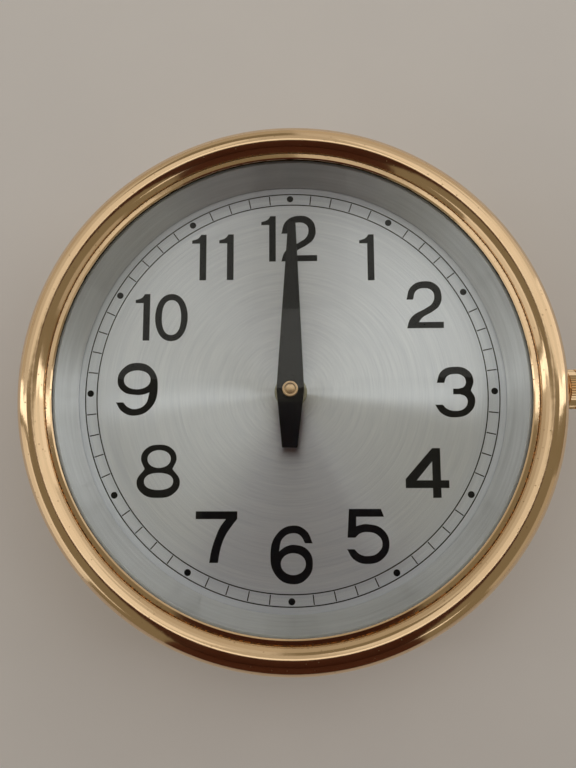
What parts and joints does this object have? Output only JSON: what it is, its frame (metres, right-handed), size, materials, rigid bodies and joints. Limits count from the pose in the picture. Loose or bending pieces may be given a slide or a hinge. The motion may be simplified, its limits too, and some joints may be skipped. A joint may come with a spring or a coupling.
{
  "type": "slave clock",
  "caption": "Round wall-mounted slave clock: polished brass hinged bezel over a silver dial with plain black numerals and hands, in a flanged brass drum.",
  "frame": {"origin": "middle of the flat back face of the case flange", "axes": "+Z out of the dial, +Y towards 12 o'clock, +X towards 3 o'clock"},
  "size_m": [0.2628, 0.256, 0.0708],
  "materials": {
    "polished_brass": "polished",
    "brass": "satin",
    "brushed_dial": "circular brushed",
    "brushed_ring": "brushed round the ring",
    "steel": "bright",
    "clear_glass": "clear",
    "hand_paint": "satin black",
    "black_rubber": "matt",
    "black_moulding": "moulded",
    "white_nylon": "moulded",
    "ferrite_magnet": "ground, dark grey",
    "copper_winding": "enamelled copper wire"
  },
  "bodies": {
    "case": {"case_drum": "brass", "cable_grommet": "black_rubber", "rim_gasket": "black_rubber", "dial_plate": "brushed_dial", "dial_ring": "brushed_ring", "dial_pillar_1": "brass", "dial_pillar_2": "brass", "dial_pillar_3": "brass", "dial_pillar_4": "brass", "dial_screw_1": "steel", "dial_screw_2": "steel", "dial_screw_3": "steel", "dial_screw_4": "steel", "case_hinge_leaf": "brass", "case_hinge_screw_1": "steel", "case_hinge_screw_2": "steel", "hinge_pin": "steel", "movement_front_plate": "brass", "movement_back_plate": "brass", "movement_pillar_1": "brass", "movement_pillar_2": "brass", "movement_pillar_3": "brass", "movement_pillar_4": "brass", "movement_screw_1": "steel", "movement_screw_2": "steel", "movement_screw_3": "steel", "movement_screw_4": "steel", "dial_nut": "polished_brass", "stator_core": "steel", "coil_bobbin": "white_nylon", "coil_winding": "copper_winding", "terminal_block": "black_moulding", "terminal_screw_1": "brass", "terminal_screw_2": "brass"},
    "minute_arbor": {"centre_wheel": "brass", "cannon_pinion": "brass", "minute_hand": "hand_paint", "minute_collet": "brass", "hand_cap": "polished_brass"},
    "hour_pipe": {"hour_wheel": "brass", "hour_hand": "hand_paint", "hour_collet": "brass"},
    "minute_wheel": {"minute_wheel": "brass"},
    "step_wheel": {"step_wheel": "steel"},
    "rotor": {"rotor_arbor": "steel", "rotor_magnet": "ferrite_magnet"},
    "bezel": {"bezel_ring": "polished_brass", "glass": "clear_glass", "glass_gasket": "black_rubber", "glass_clamp_ring": "brass", "clamp_screw_1": "steel", "clamp_screw_2": "steel", "clamp_screw_3": "steel", "bezel_hinge_leaf": "polished_brass", "bezel_hinge_screw_1": "steel", "bezel_hinge_screw_2": "steel"},
    "washer": {"thumb_washer": "polished_brass"},
    "thumb_screw": {"thumb_screw": "polished_brass"}
  },
  "joints": [
    {"name": "bezel_swing", "type": "hinge", "parent": "case", "child": "bezel", "pos_m": [-0.122, 0, 0.047], "axis": [0, -1, 0], "range_deg": [0, 110]},
    {"name": "minute_turn", "type": "hinge", "parent": "case", "child": "minute_arbor", "pos_m": [0, 0, 0.046], "axis": [0, 0, -1], "continuous": true},
    {"name": "hour_turn", "type": "hinge", "parent": "case", "child": "hour_pipe", "pos_m": [0, 0, 0.046], "axis": [0, 0, -1], "continuous": true},
    {"name": "minute_wheel_turn", "type": "hinge", "parent": "case", "child": "minute_wheel", "pos_m": [0.0072, 0.01247, 0.036], "axis": [0, 0, -1], "continuous": true},
    {"name": "step_turn", "type": "hinge", "parent": "case", "child": "step_wheel", "pos_m": [-0.008, -0.01477, 0.028], "axis": [0, 0, -1], "continuous": true},
    {"name": "rotor_turn", "type": "hinge", "parent": "case", "child": "rotor", "pos_m": [0, -0.02331, 0.02], "axis": [0, 0, -1], "continuous": true},
    {"name": "screw_travel", "type": "slide", "parent": "bezel", "child": "washer", "axis": [1, 0, 0], "range_m": [0, 0.003]},
    {"name": "screw_turn", "type": "hinge", "parent": "washer", "child": "thumb_screw", "pos_m": [0.1288, 0, 0.052], "axis": [1, 0, 0], "range_deg": [0, 1080.1]}
  ],
  "couplings": [
    {"joint": "hour_turn", "follows": "minute_turn", "ratio": 0.083333},
    {"joint": "minute_wheel_turn", "follows": "minute_turn", "ratio": -0.33333},
    {"joint": "step_turn", "follows": "minute_turn", "ratio": -6},
    {"joint": "rotor_turn", "follows": "minute_turn", "ratio": 30},
    {"joint": "screw_turn", "follows": "screw_travel", "rad_per_m": 6283.2}
  ]
}
